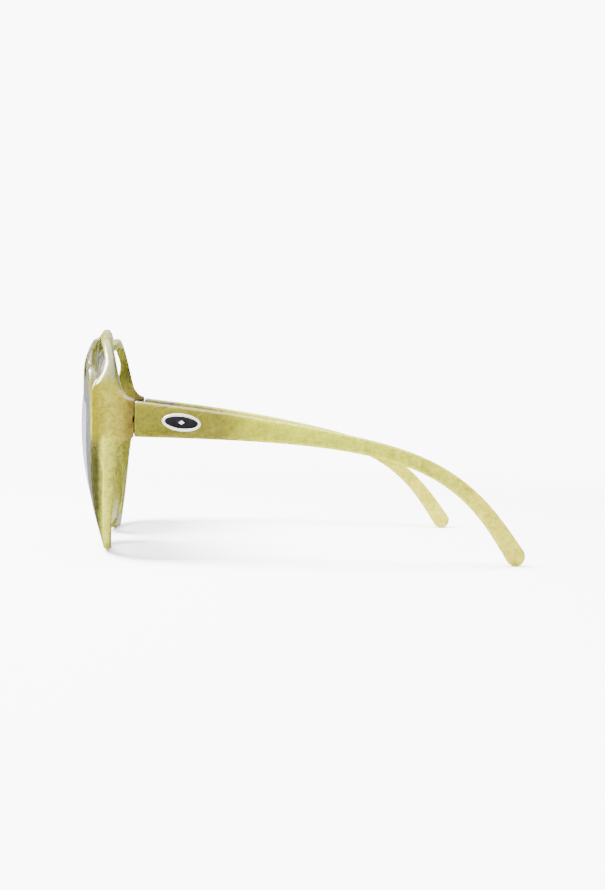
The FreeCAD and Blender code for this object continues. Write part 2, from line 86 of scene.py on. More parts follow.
def spline(knots, values, at):
    """A natural cubic spline through a few values, read at many places."""
    knots = np.array(knots, float)
    values = np.array(values, float)
    count = len(knots)
    gaps = np.diff(knots)
    slopes = np.diff(values) / gaps
    system = np.eye(count)
    right = np.zeros(count)
    for i in range(1, count - 1):
        system[i, i - 1:i + 2] = gaps[i - 1], 2 * (gaps[i - 1] + gaps[i]), gaps[i]
        right[i] = 6 * (slopes[i] - slopes[i - 1])
    bend = np.linalg.solve(system, right)
    at = np.clip(np.array(at, float), knots[0], knots[-1])
    k = np.clip(np.searchsorted(knots, at, side="right") - 1, 0, count - 2)
    step = gaps[k]
    ahead = knots[k + 1] - at
    behind = at - knots[k]
    curve = (bend[k] * ahead ** 3 + bend[k + 1] * behind ** 3) / (6 * step)
    curve += (values[k] / step - bend[k] * step / 6) * ahead
    return curve + (values[k + 1] / step - bend[k + 1] * step / 6) * behind


def superellipse(count, squareness):
    """Points round a rounded square from -1 to 1 both ways."""
    angle = 2 * np.pi * (np.arange(count) + 0.5) / count
    power = 2.0 / squareness
    c, s = np.cos(angle), np.sin(angle)
    return np.sign(c) * np.abs(c) ** power, np.sign(s) * np.abs(s) ** power


def mesh_object(name, verts, faces, smooth=True):
    """A mesh object made of points in metres, with its faces turned outward."""
    mesh = bpy.data.meshes.new(name)
    mesh.from_pydata([tuple(v) for v in verts], [], faces)
    mesh.validate()
    outward = bmesh.new()
    outward.from_mesh(mesh)
    bmesh.ops.recalc_face_normals(outward, faces=outward.faces)
    outward.to_mesh(mesh)
    outward.free()
    mesh.polygons.foreach_set("use_smooth", [smooth] * len(mesh.polygons))
    obj = bpy.data.objects.new(name, mesh)
    bpy.context.scene.collection.objects.link(obj)
    return obj


def loft(rings, closed_path=False):
    """Vertices and quads of a tube through rings of points; an open tube gets its ends filled."""
    rings = np.array(rings, float)
    count, around = rings.shape[:2]
    faces = []
    spans = count if closed_path else count - 1
    for i in range(spans):
        a, b = i * around, ((i + 1) % count) * around
        for j in range(around):
            k = (j + 1) % around
            faces.append((a + j, a + k, b + k, b + j))
    if not closed_path:
        faces.append(tuple(range(around))[::-1])
        faces.append(tuple(range((count - 1) * around, count * around)))
    return rings.reshape(-1, 3), faces


# ------------------------------------------------------------------- outlines of the front

LENS_X, LENS_Z = 35.4, 32.05
HALF_WIDE, HALF_TALL = 27.0, 28.0
FLARE = 0.05
SWEEP, UNDER_SWEEP = 0.055, 0.1
SQUARENESS = 2.25
WRAP = 0.08


def lens_edge(degrees):
    """The lens outline as x, z; 0 degrees is the outer side and 90 the top."""
    angle = np.radians(degrees)
    power = 2.0 / SQUARENESS
    out = np.sign(np.cos(angle)) * np.abs(np.cos(angle)) ** power
    up = np.sign(np.sin(angle)) * np.abs(np.sin(angle)) ** power
    sweep = np.where(up > 0, SWEEP, UNDER_SWEEP)
    x = LENS_X + HALF_WIDE * out * (1 + FLARE * up)
    z = LENS_Z + HALF_TALL * (up + sweep * out * np.abs(up))
    return x, z


NORMAL_REACH = 2.0


def edge_normal(degrees):
    """The way out of the lens outline, as x, z of length 1."""
    ahead, behind = lens_edge(degrees + NORMAL_REACH), lens_edge(degrees - NORMAL_REACH)
    dx, dz = ahead[0] - behind[0], ahead[1] - behind[1]
    length = np.hypot(dx, dz)
    return dz / length, -dx / length


# the teardrop cut-outs: their middles and their reach below and above, in degrees
UPPER_CUT, UPPER_REACH = 52.0, (14.0, 45.0)
LOWER_CUT, LOWER_REACH = -34.0, (33.0, 33.0)
CUT_FULLNESS = 1.6


def opening(degrees):
    """How far the rim and the outer arc part: 1 in the middle of each teardrop cut-out."""
    upper = bump(degrees, UPPER_CUT, *UPPER_REACH)
    lower = bump(degrees, LOWER_CUT, *LOWER_REACH)
    return np.minimum(1.0, CUT_FULLNESS * np.maximum(upper, lower))


# widths across the moulding, measured out from the edge of the lens
NARROWEST, SWELL, WIDEST_AT = 3.3, 4.4, 26.0
RIM_NARROW, RIM_GAIN, RIM_INSIDE = 2.4, 1.6, 0.2
ARC_NARROW, ARC_GAIN, ARC_PAST = 2.6, 1.6, 0.6
ARC_MIDDLE, ARC_HALF, ARC_FULLNESS = 12.0, 128.0, 2.5


def outer_width(degrees):
    """Where the moulding ends: furthest out above the end piece."""
    swell = (0.5 + 0.5 * np.cos(np.radians(degrees - WIDEST_AT))) ** 1.5
    return NARROWEST + SWELL * swell


def rim_width(degrees):
    """The rim: narrow beside a cut-out, and wider where it joins the arc."""
    merged = RIM_NARROW + RIM_GAIN * (1 - opening(degrees))
    return np.minimum(merged, outer_width(degrees) - RIM_INSIDE)


def arc_inner(degrees):
    """The inner side of the outer arc."""
    presence = np.minimum(1.0, ARC_FULLNESS * bump(degrees, ARC_MIDDLE, ARC_HALF, ARC_HALF))
    wide = ARC_NARROW + ARC_GAIN * (1 - opening(degrees))
    return outer_width(degrees) + ARC_PAST - (wide + ARC_PAST) * presence


# sections through the middle of the rim, and the side view of the outer arc, as (depth, z)
RIM_FRONT = [
    (-1.2, -2.0), (-3.0, 4.0), (-5.2, 12.2), (-7.0, 24.0), (-7.6, 38.0), (-8.2, 49.0),
    (-8.85, 54.5), (-7.9, 60.0), (-4.4, 68.0)]
RIM_BACK = [
    (0.6, -2.0), (-0.5, 4.0), (-2.0, 14.0), (-3.2, 26.0), (-4.3, 40.0), (-5.3, 55.0),
    (-4.9, 61.0), (-2.2, 68.0)]
ARC_FRONT = [
    (-1.9, -2.0), (-1.5, 12.7), (-1.3, 19.5), (-1.3, 26.0), (-2.4, 29.5), (-4.0, 33.0),
    (-4.9, 36.0), (-4.9, 47.0), (-4.6, 49.6), (-2.9, 52.3), (-1.9, 55.0), (-1.8, 58.5),
    (-2.9, 61.5), (-3.7, 63.5), (-2.9, 68.0)]
ARC_BACK = [
    (0.4, -2.0), (1.2, 10.5), (2.1, 24.5), (2.7, 30.3), (3.7, 32.6), (4.5, 33.9),
    (5.6, 34.9), (8.6, 35.4), (8.6, 45.8), (6.6, 46.1), (5.1, 46.8), (3.4, 49.0),
    (2.6, 51.8), (1.8, 55.3), (1.0, 58.6), (-0.3, 63.7), (-1.6, 68.0)]
ARC_FRONT_SOFTNESS, ARC_BACK_SOFTNESS = 1.6, 0.4


def profile_depth(profile, z, soften):
    """Depth of a side-view profile at each height, with its corners rounded."""
    depths, heights = zip(*profile)
    shifts = np.linspace(-soften, soften, 9)
    return sum(np.interp(z + shift, heights, depths) for shift in shifts) / len(shifts)


def rim_front(x, z):
    """Depth of the rims' front, swept back to the outside."""
    depths, heights = zip(*RIM_FRONT)
    return spline(heights, depths, z) + WRAP * (x - LENS_X)


def rim_back(x, z):
    """Depth of the rims' back, swept back like the front."""
    depths, heights = zip(*RIM_BACK)
    return spline(heights, depths, z) + WRAP * (x - LENS_X)


def arc_front(z):
    return profile_depth(ARC_FRONT, z, ARC_FRONT_SOFTNESS)


def arc_back(z):
    return profile_depth(ARC_BACK, z, ARC_BACK_SOFTNESS)


# ------------------------------------------------------------------- the moulded front


def ring_sections(degrees, inner, outer, front, back, squareness, around):
    """Rounded sections across the moulding, square to the lens outline."""
    u, v = superellipse(around, squareness)
    x0, z0 = lens_edge(degrees)
    nx, nz = edge_normal(degrees)
    middle, half = (inner + outer) / 2, (outer - inner) / 2
    w = middle[:, None] + half[:, None] * u[None, :]
    x = x0[:, None] + nx[:, None] * w
    z = z0[:, None] + nz[:, None] * w
    near, far = front(x, z), back(x, z)
    y = (near + far) / 2 + (far - near) / 2 * v[None, :]
    return np.stack([x, y, z], axis=-1)


RIM_AROUND, RIM_SQUARENESS = 28, 3.2
LENS_OVERLAP = 0.25
BACK_CUT, BACK_CUT_REACH = 1.6, (16.0, 34.0)
BACK_CUT_FROM, BACK_CUT_RUN = 0.7, 1.4


def rim_rings():
    """The rim, with its outer back corner cut forward where it borders the upper cut-out."""
    degrees = np.linspace(0.0, 360.0, 220, endpoint=False)
    inner, outer = np.full_like(degrees, -LENS_OVERLAP), rim_width(degrees)
    rings = ring_sections(degrees, inner, outer, rim_front, rim_back, RIM_SQUARENESS, RIM_AROUND)
    u, v = superellipse(RIM_AROUND, RIM_SQUARENESS)
    beyond = (inner + outer)[:, None] / 2 + (outer - inner)[:, None] / 2 * u[None, :]
    along = bump(degrees, UPPER_CUT, *BACK_CUT_REACH)[:, None]
    cut = BACK_CUT * along ** 0.5 * smoothstep((beyond - BACK_CUT_FROM) / BACK_CUT_RUN)
    rings[..., 1] -= cut * (v[None, :] + 1) / 2
    return rings


ARC_START, ARC_END = -101.0, 121.0
ARC_AROUND, ARC_SQUARENESS = 40, 3.4
# where each end of the arc begins to sink, and over how many degrees
LOW_SINK, LOW_SINK_RUN = -84.0, 15.0
HIGH_SINK, HIGH_SINK_RUN = 86.0, 32.0
SUNK_INNER, SUNK_INSIDE, SUNK_DEPTH = 0.5, 0.6, 0.7
# where the upper end comes forward to overlap the rim
JOIN_FROM, JOIN_RUN, JOIN_OVERLAP = 70.0, 12.0, 0.8


def arc_rings():
    """The outer arc; both ends sink into the rim."""
    degrees = np.linspace(ARC_START, ARC_END, 224)
    sunk = smoothstep((degrees - HIGH_SINK) / HIGH_SINK_RUN)
    sunk = sunk + smoothstep((LOW_SINK - degrees) / LOW_SINK_RUN)
    inner = arc_inner(degrees) * (1 - sunk) + SUNK_INNER * sunk
    outer = outer_width(degrees) * (1 - sunk) + (rim_width(degrees) - SUNK_INSIDE) * sunk
    joined = smoothstep((degrees - JOIN_FROM) / JOIN_RUN)[:, None]
    sunk_row = sunk[:, None]

    def front(x, z):
        open_front = arc_front(z)
        overlap = np.minimum(open_front, rim_back(x, z) - JOIN_OVERLAP)
        depth = open_front + (overlap - open_front) * joined
        return depth * (1 - sunk_row) + (rim_front(x, z) + SUNK_DEPTH) * sunk_row

    def back(x, z):
        return arc_back(z) * (1 - sunk_row) + (rim_back(x, z) - SUNK_DEPTH) * sunk_row

    return ring_sections(degrees, inner, outer, front, back, ARC_SQUARENESS, ARC_AROUND)


PAD_START, PAD_END = 176.0, 247.0
PAD_AROUND, PAD_SQUARENESS = 32, 2.6
PAD_MIDDLE, PAD_HALF = 1.75, 1.15
PAD_BEHIND_FRONT, PAD_LEAST = 1.0, 0.6
PAD_STEP, PAD_LEAN, PAD_LEAN_FROM = 0.6, 0.18, -9.5
# how far back the pad reaches, as (z, depth)
PAD_BACK = [
    (3.0, -3.6), (4.0, -2.6), (8.6, 1.4), (16.0, 2.6), (22.0, 2.5), (28.0, 1.6),
    (31.5, -1.5), (33.5, -6.0)]


def pad_rings():
    """The nose pad: a fin that leans away from the nose as it goes back."""
    degrees = np.linspace(PAD_START, PAD_END, 72)
    u, v = superellipse(PAD_AROUND, PAD_SQUARENESS)
    x0, z0 = lens_edge(degrees)
    nx, nz = edge_normal(degrees)
    heights, depths = zip(*PAD_BACK)
    far = np.interp(z0, heights, depths)
    near = rim_front(x0, z0) + PAD_BEHIND_FRONT
    w = PAD_MIDDLE + PAD_HALF * u
    x = x0[:, None] + nx[:, None] * w[None, :]
    z = z0[:, None] + nz[:, None] * w[None, :]
    y = (near + far)[:, None] / 2 + np.maximum(far - near, PAD_LEAST)[:, None] / 2 * v[None, :]
    x = x - PAD_STEP + PAD_LEAN * (y - PAD_LEAN_FROM)
    return np.stack([x, y, z], axis=-1)


BRIDGE_HALF, BRIDGE_CLEAR, BRIDGE_SINK = 21.0, 17.0, 13.0
BRIDGE_AROUND, BRIDGE_SQUARENESS = 36, 3.0
# heights and depths in the middle, what they gain outwards, and where they end in the rims
TOP_MIDDLE, TOP_RISE, TOP_END = 57.6, 2.4, 59.4
UNDER_MIDDLE, UNDER_FALL, UNDER_RISE, UNDER_LIMIT, UNDER_END = 50.6, 7.6, 9.0, 55.0, 57.8
SADDLE_FRONT, SADDLE_FRONT_GAIN, SADDLE_FRONT_END = -11.2, 1.2, -9.0
SADDLE_BACK, SADDLE_BACK_GAIN = -7.2, 0.9


def bridge_rings():
    """The saddle between the rims, proud of them at the front."""
    across = np.linspace(-BRIDGE_HALF, BRIDGE_HALF, 84)
    u, v = superellipse(BRIDGE_AROUND, BRIDGE_SQUARENESS)
    share = np.abs(across) / BRIDGE_CLEAR
    sunk = smoothstep((np.abs(across) - BRIDGE_SINK) / (BRIDGE_HALF - BRIDGE_SINK))
    top = (TOP_MIDDLE + TOP_RISE * share ** 1.8) * (1 - sunk) + TOP_END * sunk
    under = UNDER_MIDDLE - UNDER_FALL * smoothstep((share - 0.05) / 0.5) ** 1.3
    under = np.where(share > 0.5, under + UNDER_RISE * (share - 0.5) / 0.5, under)
    under = np.minimum(under, UNDER_LIMIT) * (1 - sunk) + UNDER_END * sunk
    front = (SADDLE_FRONT + SADDLE_FRONT_GAIN * share ** 2) * (1 - sunk) + SADDLE_FRONT_END * sunk
    back = (SADDLE_BACK + SADDLE_BACK_GAIN * share ** 2) * (1 - sunk) + SADDLE_BACK * sunk
    z = (top + under)[:, None] / 2 + (top - under)[:, None] / 2 * v[None, :]
    y = (front + back)[:, None] / 2 + (back - front)[:, None] / 2 * u[None, :]
    x = np.repeat(across[:, None], len(u), axis=1)
    return np.stack([x, y, z], axis=-1)


def remeshed(obj, voxel):
    """Replace a mesh by one skin round all its overlapping parts."""
    bpy.context.view_layer.objects.active = obj
    shrink = obj.modifiers.new("voxels", "REMESH")
    shrink.mode = "VOXEL"
    shrink.voxel_size = voxel
    shrink.use_smooth_shade = True
    graph = bpy.context.evaluated_depsgraph_get()
    mesh = bpy.data.meshes.new_from_object(obj.evaluated_get(graph), depsgraph=graph)
    obj.modifiers.clear()
    obj.data = mesh
    return obj


def read_points(obj):
    """The vertices of a mesh object as rows of x, y, z in metres."""
    co = np.empty(len(obj.data.vertices) * 3)
    obj.data.vertices.foreach_get("co", co)
    return co.reshape(-1, 3)


def write_points(obj, co):
    obj.data.vertices.foreach_set("co", co.ravel())
    obj.data.update()


def neighbour_pull(obj):
    """A function from the vertices to each one's way to the middle of its neighbours."""
    count = len(obj.data.vertices)
    pairs = np.empty(len(obj.data.edges) * 2, np.int64)
    obj.data.edges.foreach_get("vertices", pairs)
    pairs = pairs.reshape(-1, 2)
    both = np.concatenate([pairs, pairs[:, ::-1]])
    here, there = both[:, 0], both[:, 1]
    degree = np.maximum(np.bincount(here, minlength=count), 1)[:, None]

    def pull(co):
        total = np.stack([np.bincount(here, co[there, k], count) for k in range(3)], axis=1)
        return total / degree - co

    return pull


RELAX_IN, RELAX_OUT = 0.55, -0.57


def relaxed(obj, rounds):
    """Even out a mesh and round its creases without thinning it."""
    co = read_points(obj)
    pull = neighbour_pull(obj)
    for _ in range(rounds):
        for factor in (RELAX_IN, RELAX_OUT):
            co = co + factor * pull(co)
    write_points(obj, co)


MELT_STRENGTH = 0.5


def melted(obj, rounds):
    """Round off the step where the end piece runs down into the rim and the outer arc."""
    co = read_points(obj)
    pull = neighbour_pull(obj)
    x, y, z = np.abs(co[:, 0]) / MM, co[:, 1] / MM - DATUM, co[:, 2] / MM
    outside = smoothstep((x - 62.5) / 2.0)
    in_height = smoothstep((z - 20.0) / 5.0), smoothstep((38.0 - z) / 4.0)
    in_depth = smoothstep((y + 7.5) / 2.0), smoothstep((1.5 - y) / 2.0)
    share = outside * in_height[0] * in_height[1]
    share = (share * in_depth[0] * in_depth[1])[:, None]
    for _ in range(rounds):
        co = co + MELT_STRENGTH * share * pull(co)
    write_points(obj, co)


# the end piece's side face: tapered from the joint to FACE_BREAK, and less ahead of it
FACE_BREAK, FACE_AHEAD, AHEAD_TAPER = -5.4, 66.6, 0.11
END_TAPER, END_RUN = 2.7, 12.5
FLUTE_DEPTH, FLUTE_TOP, FLUTE_RUN = 0.9, 37.0, 6.0
SEAT_FRONT, SEAT_HALF, SEAT_FROM = -1.6, 5.2, 58.0
NOTCH_DEEP, NOTCH_HALF, NOTCH_WIDE = 0.5, 0.75, 2.2


def trimmed_front(obj):
    """Flatten what has to be flat: the joint faces, the hinge seats and the tapered side faces."""
    co = read_points(obj) / MM
    y = co[:, 1] - DATUM
    x = np.abs(co[:, 0])
    side = np.sign(co[:, 0])
    from_hinge = np.abs(co[:, 2] - HINGE_Z)
    tapered = OUTER_X - END_TAPER * (HINGE_LINE - y) / END_RUN
    side_face = np.where(y > FACE_BREAK, tapered, FACE_AHEAD - AHEAD_TAPER * (FACE_BREAK - y))
    fluted = FLUTE_DEPTH * smoothstep((FLUTE_TOP - co[:, 2]) / FLUTE_RUN)
    x = np.minimum(x, np.minimum(side_face + fluted, OUTER_X))
    seat = (y > SEAT_FRONT) & (from_hinge < SEAT_HALF) & (x > SEAT_FROM)
    x = np.where(seat & (x < SEAT_X), SEAT_X, x)
    y = np.minimum(y, HINGE_LINE)
    notch = (y > HINGE_LINE - NOTCH_DEEP) & (from_hinge < NOTCH_HALF) & (x > OUTER_X - NOTCH_WIDE)
    y = np.where(notch, HINGE_LINE - NOTCH_DEEP, y)
    co[:, 0] = side * x
    co[:, 1] = y + DATUM
    co[:, 2] = np.maximum(co[:, 2], 0.0)
    write_points(obj, co * MM)


VOXEL = 0.36


def front_moulding():
    """Both rims, arcs and pads and the bridge, as one smooth closed skin."""
    parts = []
    tubes = (("rim", rim_rings(), True), ("arc", arc_rings(), False), ("pad", pad_rings(), False))
    for name, rings, closed in tubes:
        for side, sign in SIDES.items():
            turned = placed(rings) * np.array([sign, 1.0, 1.0])
            verts, faces = loft(turned, closed)
            parts.append(mesh_object(f"{name}_{side}_blank", verts, faces))
    verts, faces = loft(placed(bridge_rings()))
    parts.append(mesh_object("frame_front_moulding", verts, faces))
    whole = parts[-1]
    with bpy.context.temp_override(active_object=whole, selected_editable_objects=parts):
        bpy.ops.object.join()
    remeshed(whole, VOXEL * MM)
    relaxed(whole, 14)
    trimmed_front(whole)
    melted(whole, 16)
    relaxed(whole, 2)
    trimmed_front(whole)
    whole.data.polygons.foreach_set("use_smooth", [True] * len(whole.data.polygons))
    return whole


# ------------------------------------------------------------------- lenses

LENS_FRONT, LENS_APEX = -9.5, 39.5
UP_RADIUS, SIDE_RADIUS = 86.0, 200.0
LENS_THICK, LENS_TUCK = 1.8, 0.5
LENS_AROUND, LENS_ROWS = 144, 26


def lens_depth(x, z, inward):
    """Depth of the barrel-shaped lens surface; inward is the distance behind the front."""
    up = UP_RADIUS - inward
    rise = up - np.sqrt(up ** 2 - (z - LENS_APEX) ** 2)
    run = (x - LENS_X) ** 2 / (2 * SIDE_RADIUS)
    return LENS_FRONT + inward + WRAP * (x - LENS_X) + rise + run


def lens_mesh(name, sign):
    """A curved shell that tucks a little under the rim all round."""
    degrees = np.linspace(0.0, 360.0, LENS_AROUND, endpoint=False)
    x0, z0 = lens_edge(degrees)
    nx, nz = edge_normal(degrees)
    x0, z0 = x0 + LENS_TUCK * nx, z0 + LENS_TUCK * nz
    shares = np.sin(np.linspace(0.04, 1.0, LENS_ROWS) * np.pi / 2)
    rings = []
    for inward, order in ((0.0, shares), (LENS_THICK, shares[::-1])):
        for share in order:
            x = LENS_X + (x0 - LENS_X) * share
            z = LENS_Z + (z0 - LENS_Z) * share
            rings.append(np.stack([x, lens_depth(x, z, inward), z], axis=-1))
    verts, faces = loft(placed(np.array(rings)) * np.array([sign, 1.0, 1.0]))
    return mesh_object(name, verts, faces)


# ------------------------------------------------------------------- temples

TOP_RUN = [(7.3, 45.6), (42.0, 41.85), (70.0, 37.2), (95.0, 29.6), (109.6, 19.3)]
LOW_RUN = [(7.3, 35.4), (42.0, 34.85), (70.0, 32.35), (95.0, 24.6), (106.0, 16.2)]
TIP_DEPTH, TIP_RADIUS = 119.5, 2.9
TIP_SLOPE = math.radians(-53.0)
TIP_STEPS, TIP_LEAST, TIP_THINNING = 16, 0.02, 0.8
# the outer and inner faces seen from above, as (depth, x)
OUTER_PLAN = [(32.0, OUTER_X), (65.0, 67.6), (96.0, 64.9), (122.6, 61.6)]
INNER_PLAN = [(19.0, SEAT_X), (50.0, 64.4), (90.0, 61.8), (122.6, 59.0)]
BAR_STEPS, BAR_AROUND, BAR_SQUARENESS, BAR_CROWN = 150, 56, 4.2, 0.06
# the rounding where the bar meets the end piece, as (distance along, distance in)
BAR_LEAD = [(0.0, 0.42), (0.06, 0.26), (0.16, 0.12), (0.3, 0.03)]


def run_curve(run, count):
    """A smooth curve through a few side-view points, evenly sampled along its length."""
    run = np.array(run, float)
    along = np.concatenate([[0.0], np.cumsum(np.hypot(*np.diff(run, axis=0).T))])
    at = np.linspace(0.0, along[-1], count)
    return np.stack([spline(along, run[:, 0], at), spline(along, run[:, 1], at)], axis=1)


def plan_face(plan, y):
    """x of a face at each depth: straight up to the plan's first point, then curved."""
    depths, faces = zip(*plan)
    return np.where(y < depths[0], faces[0], spline(depths, faces, y))


def temple_rings():
    """A bar that thins and turns down to a rounded tip."""
    centre = np.array([TIP_DEPTH, TIP_RADIUS])
    along = np.array([math.cos(TIP_SLOPE), math.sin(TIP_SLOPE)])
    above = np.array([-along[1], along[0]])
    top = run_curve(TOP_RUN + [tuple(centre + above * TIP_RADIUS)], BAR_STEPS)
    low = run_curve(LOW_RUN + [tuple(centre - above * TIP_RADIUS)], BAR_STEPS)
    middles = list((top + low) / 2)
    halves = list((top - low) / 2)
    shrinks = [0.0] * BAR_STEPS
    for turn in np.linspace(0.0, 90.0, TIP_STEPS)[1:]:
        angle = math.radians(turn)
        middles.append(centre + along * TIP_RADIUS * math.sin(angle))
        halves.append(above * TIP_RADIUS * max(math.cos(angle), TIP_LEAST))
        shrinks.append(TIP_THINNING * (1 - math.cos(angle)))
    first, half = middles[0], halves[0]
    step = (middles[1] - middles[0]) / np.linalg.norm(middles[1] - middles[0])
    middles = [first + step * d for d, _ in BAR_LEAD] + middles[1:]
    halves = [half * (1 - s / np.linalg.norm(half)) for _, s in BAR_LEAD] + halves[1:]
    shrinks = [s for _, s in BAR_LEAD] + shrinks[1:]
    u, v = superellipse(BAR_AROUND, BAR_SQUARENESS)
    rings = []
    for middle, half, shrink in zip(middles, halves, shrinks):
        y = middle[0] + half[0] * v
        z = middle[1] + half[1] * v
        outer, inner = plan_face(OUTER_PLAN, y), plan_face(INNER_PLAN, y)
        thick = (outer - inner) / 2 - shrink
        x = (outer + inner) / 2 + thick * u * (1 - BAR_CROWN * v ** 2)
        rings.append(np.stack([x, np.maximum(y, TEMPLE_START), z], axis=-1))
    return np.array(rings)


def temple_mesh(side, sign):
    verts, faces = loft(placed(temple_rings()) * np.array([sign, 1.0, 1.0]))
    return mesh_object(f"temple_bar_{side}", verts, faces)


# ------------------------------------------------------------------- emblems

EMBLEM_Y, EMBLEM_Z = 20.5, 39.8
EMBLEM_TILT = math.radians(-5.0)
EMBLEM_LONG, EMBLEM_TALL = 5.5, 2.5
EMBLEM_FOOT, EMBLEM_FACE = OUTER_X - 0.3, OUTER_X + 0.2
EMBLEM_BORDER = 0.8
LOZENGE_LONG, LOZENGE_TALL = 1.0, 0.65


def oval_rings(profile, around=72):
    """Rings of an oval boss: profile gives the distance in from the edge and the x of each ring."""
    angle = np.linspace(0.0, 2 * np.pi, around, endpoint=False)
    rings = []
    for inset, x in profile:
        y = (EMBLEM_LONG - inset) * np.cos(angle)
        z = (EMBLEM_TALL - inset) * np.sin(angle)
        turned_y = y * math.cos(EMBLEM_TILT) - z * math.sin(EMBLEM_TILT)
        turned_z = y * math.sin(EMBLEM_TILT) + z * math.cos(EMBLEM_TILT)
        turned = [np.full(around, x), EMBLEM_Y + turned_y, EMBLEM_Z + turned_z]
        rings.append(np.stack(turned, axis=-1))
    return np.array(rings)


def emblem_meshes(side, sign):
    """The metal oval, the enamel inside its border, and the plain lozenge on the enamel."""
    turn = np.array([sign, 1.0, 1.0])
    border, face = EMBLEM_BORDER, EMBLEM_FACE
    rim = [
        (0.05, EMBLEM_FOOT), (0.0, face - 0.16), (0.04, face - 0.07), (0.13, face - 0.01),
        (0.24, face), (border - 0.2, face), (border - 0.08, face - 0.03),
        (border, face - 0.1), (border + 0.02, face - 0.25)]
    verts, faces = loft(placed(oval_rings(rim)) * turn)
    plate = mesh_object(f"emblem_rim_{side}", verts, faces)
    dome = [
        (border, face - 0.24), (border, face - 0.1), (border + 0.1, face - 0.055),
        (border + 0.3, face - 0.03), (border + 0.8, face - 0.012),
        (border + 1.3, face - 0.006), (border + 1.6, face - 0.004)]
    verts, faces = loft(placed(oval_rings(dome)) * turn)
    enamel = mesh_object(f"emblem_inlay_{side}", verts, faces)
    corners = [(LOZENGE_LONG, 0.0), (0.0, LOZENGE_TALL), (-LOZENGE_LONG, 0.0), (0.0, -LOZENGE_TALL)]
    rings = []
    for scale, x in ((1.0, face - 0.2), (1.0, face - 0.02), (0.86, face)):
        rings.append([(x, EMBLEM_Y + a * scale, EMBLEM_Z + b * scale) for a, b in corners])
    verts, faces = loft(placed(rings) * turn)
    ornament = mesh_object(f"emblem_lozenge_{side}", verts, faces, smooth=False)
    return plate, enamel, ornament


# ------------------------------------------------------------------- materials


def material(name):
    """A node material; returns it with its tree and its Principled shader."""
    made = bpy.data.materials.new(name)
    made.use_nodes = True
    tree = made.node_tree
    return made, tree, tree.nodes["Principled BSDF"]


def noise(tree, vector, scale, detail=4.0, rough=0.55, distortion=0.0):
    node = tree.nodes.new("ShaderNodeTexNoise")
    node.inputs["Scale"].default_value = scale
    node.inputs["Detail"].default_value = detail
    node.inputs["Roughness"].default_value = rough
    node.inputs["Distortion"].default_value = distortion
    tree.links.new(vector, node.inputs["Vector"])
    return node.outputs["Fac"]


def ramp(tree, factor, stops):
    """Colours by a factor from 0 to 1; stops are (place, colour)."""
    node = tree.nodes.new("ShaderNodeValToRGB")
    while len(node.color_ramp.elements) < len(stops):
        node.color_ramp.elements.new(0.5)
    for element, (position, colour) in zip(node.color_ramp.elements, stops):
        element.position = position
        element.color = (*colour, 1.0)
    tree.links.new(factor, node.inputs["Fac"])
    return node.outputs["Color"]


def mix_colour(tree, factor, a, b, blend="MIX"):
    """Two colours mixed; each argument is a socket or a plain value."""
    node = tree.nodes.new("ShaderNodeMix")
    node.data_type = "RGBA"
    node.blend_type = blend
    for name, value in (("Factor", factor), ("A", a), ("B", b)):
        socket = node.inputs[name]
        if hasattr(value, "is_output"):
            tree.links.new(value, socket)
        else:
            socket.default_value = value
    return node.outputs["Result"]


def bumped(tree, shader, height, strength, distance):
    node = tree.nodes.new("ShaderNodeBump")
    node.inputs["Strength"].default_value = strength
    node.inputs["Distance"].default_value = distance
    tree.links.new(height, node.inputs["Height"])
    tree.links.new(node.outputs["Normal"], shader.inputs["Normal"])


def position(tree, stretch=(1.0, 1.0, 1.0)):
    """The piece's own coordinates, stretched for a texture."""
    where = tree.nodes.new("ShaderNodeTexCoord")
    scale = tree.nodes.new("ShaderNodeMapping")
    scale.inputs["Scale"].default_value = stretch
    tree.links.new(where.outputs["Object"], scale.inputs["Vector"])
    return scale.outputs["Vector"]


def split_axes(tree, vector):
    node = tree.nodes.new("ShaderNodeSeparateXYZ")
    tree.links.new(vector, node.inputs["Vector"])
    return node.outputs


def mapped(tree, value, start, end, low=0.0, high=1.0, smooth=True):
    """A value mapped from start..end to low..high, and held beyond them."""
    node = tree.nodes.new("ShaderNodeMapRange")
    if smooth:
        node.interpolation_type = "SMOOTHSTEP"
    numbers = {"From Min": start, "From Max": end, "To Min": low, "To Max": high}
    for socket, number in numbers.items():
        node.inputs[socket].default_value = number
    tree.links.new(value, node.inputs["Value"])
    return node.outputs["Result"]


def combined(tree, operation, a, b):
    """One maths node over two sockets."""
    node = tree.nodes.new("ShaderNodeMath")
    node.operation = operation
    tree.links.new(a, node.inputs[0])
    tree.links.new(b, node.inputs[1])
    return node.outputs[0]


# base colours of the resin along Y, as (Y in millimetres, linear colour); they hold painted light
# and shade as well as the resin's own colour
RESIN_SPAN = (-70.0, 70.0)
# the temples, darker by the hinge and lighter towards the tip: partly the resin's own colour and
# partly painted shade and painted light, the tip lighter where light shines through the thin resin
TEMPLE_TONES_WITH_PAINTED_SHADING = [
    (-50.0, (0.095, 0.078, 0.006)), (-46.0, (0.096, 0.090, 0.006)), (-24.0, (0.095, 0.087, 0.008)),
    (-14.0, (0.240, 0.245, 0.008)), (2.0, (0.270, 0.288, 0.012)), (32.0, (0.268, 0.272, 0.016)),
    (62.0, (0.370, 0.335, 0.026)), (70.0, (0.380, 0.350, 0.028))]
# lowest band of the front: the dark front of the rims is painted shade and the bright strip along
# the outer arc a painted highlight, over the resin's own colour
LOW_TONES_WITH_PAINTED_SHADING = [
    (-68.0, (0.028, 0.028, 0.004)), (-60.0, (0.032, 0.031, 0.004)), (-58.3, (0.030, 0.033, 0.008)),
    (-57.0, (0.270, 0.270, 0.030)), (-55.0, (0.200, 0.200, 0.020)), (-52.4, (0.100, 0.098, 0.009)),
    (-48.0, (0.085, 0.075, 0.007))]
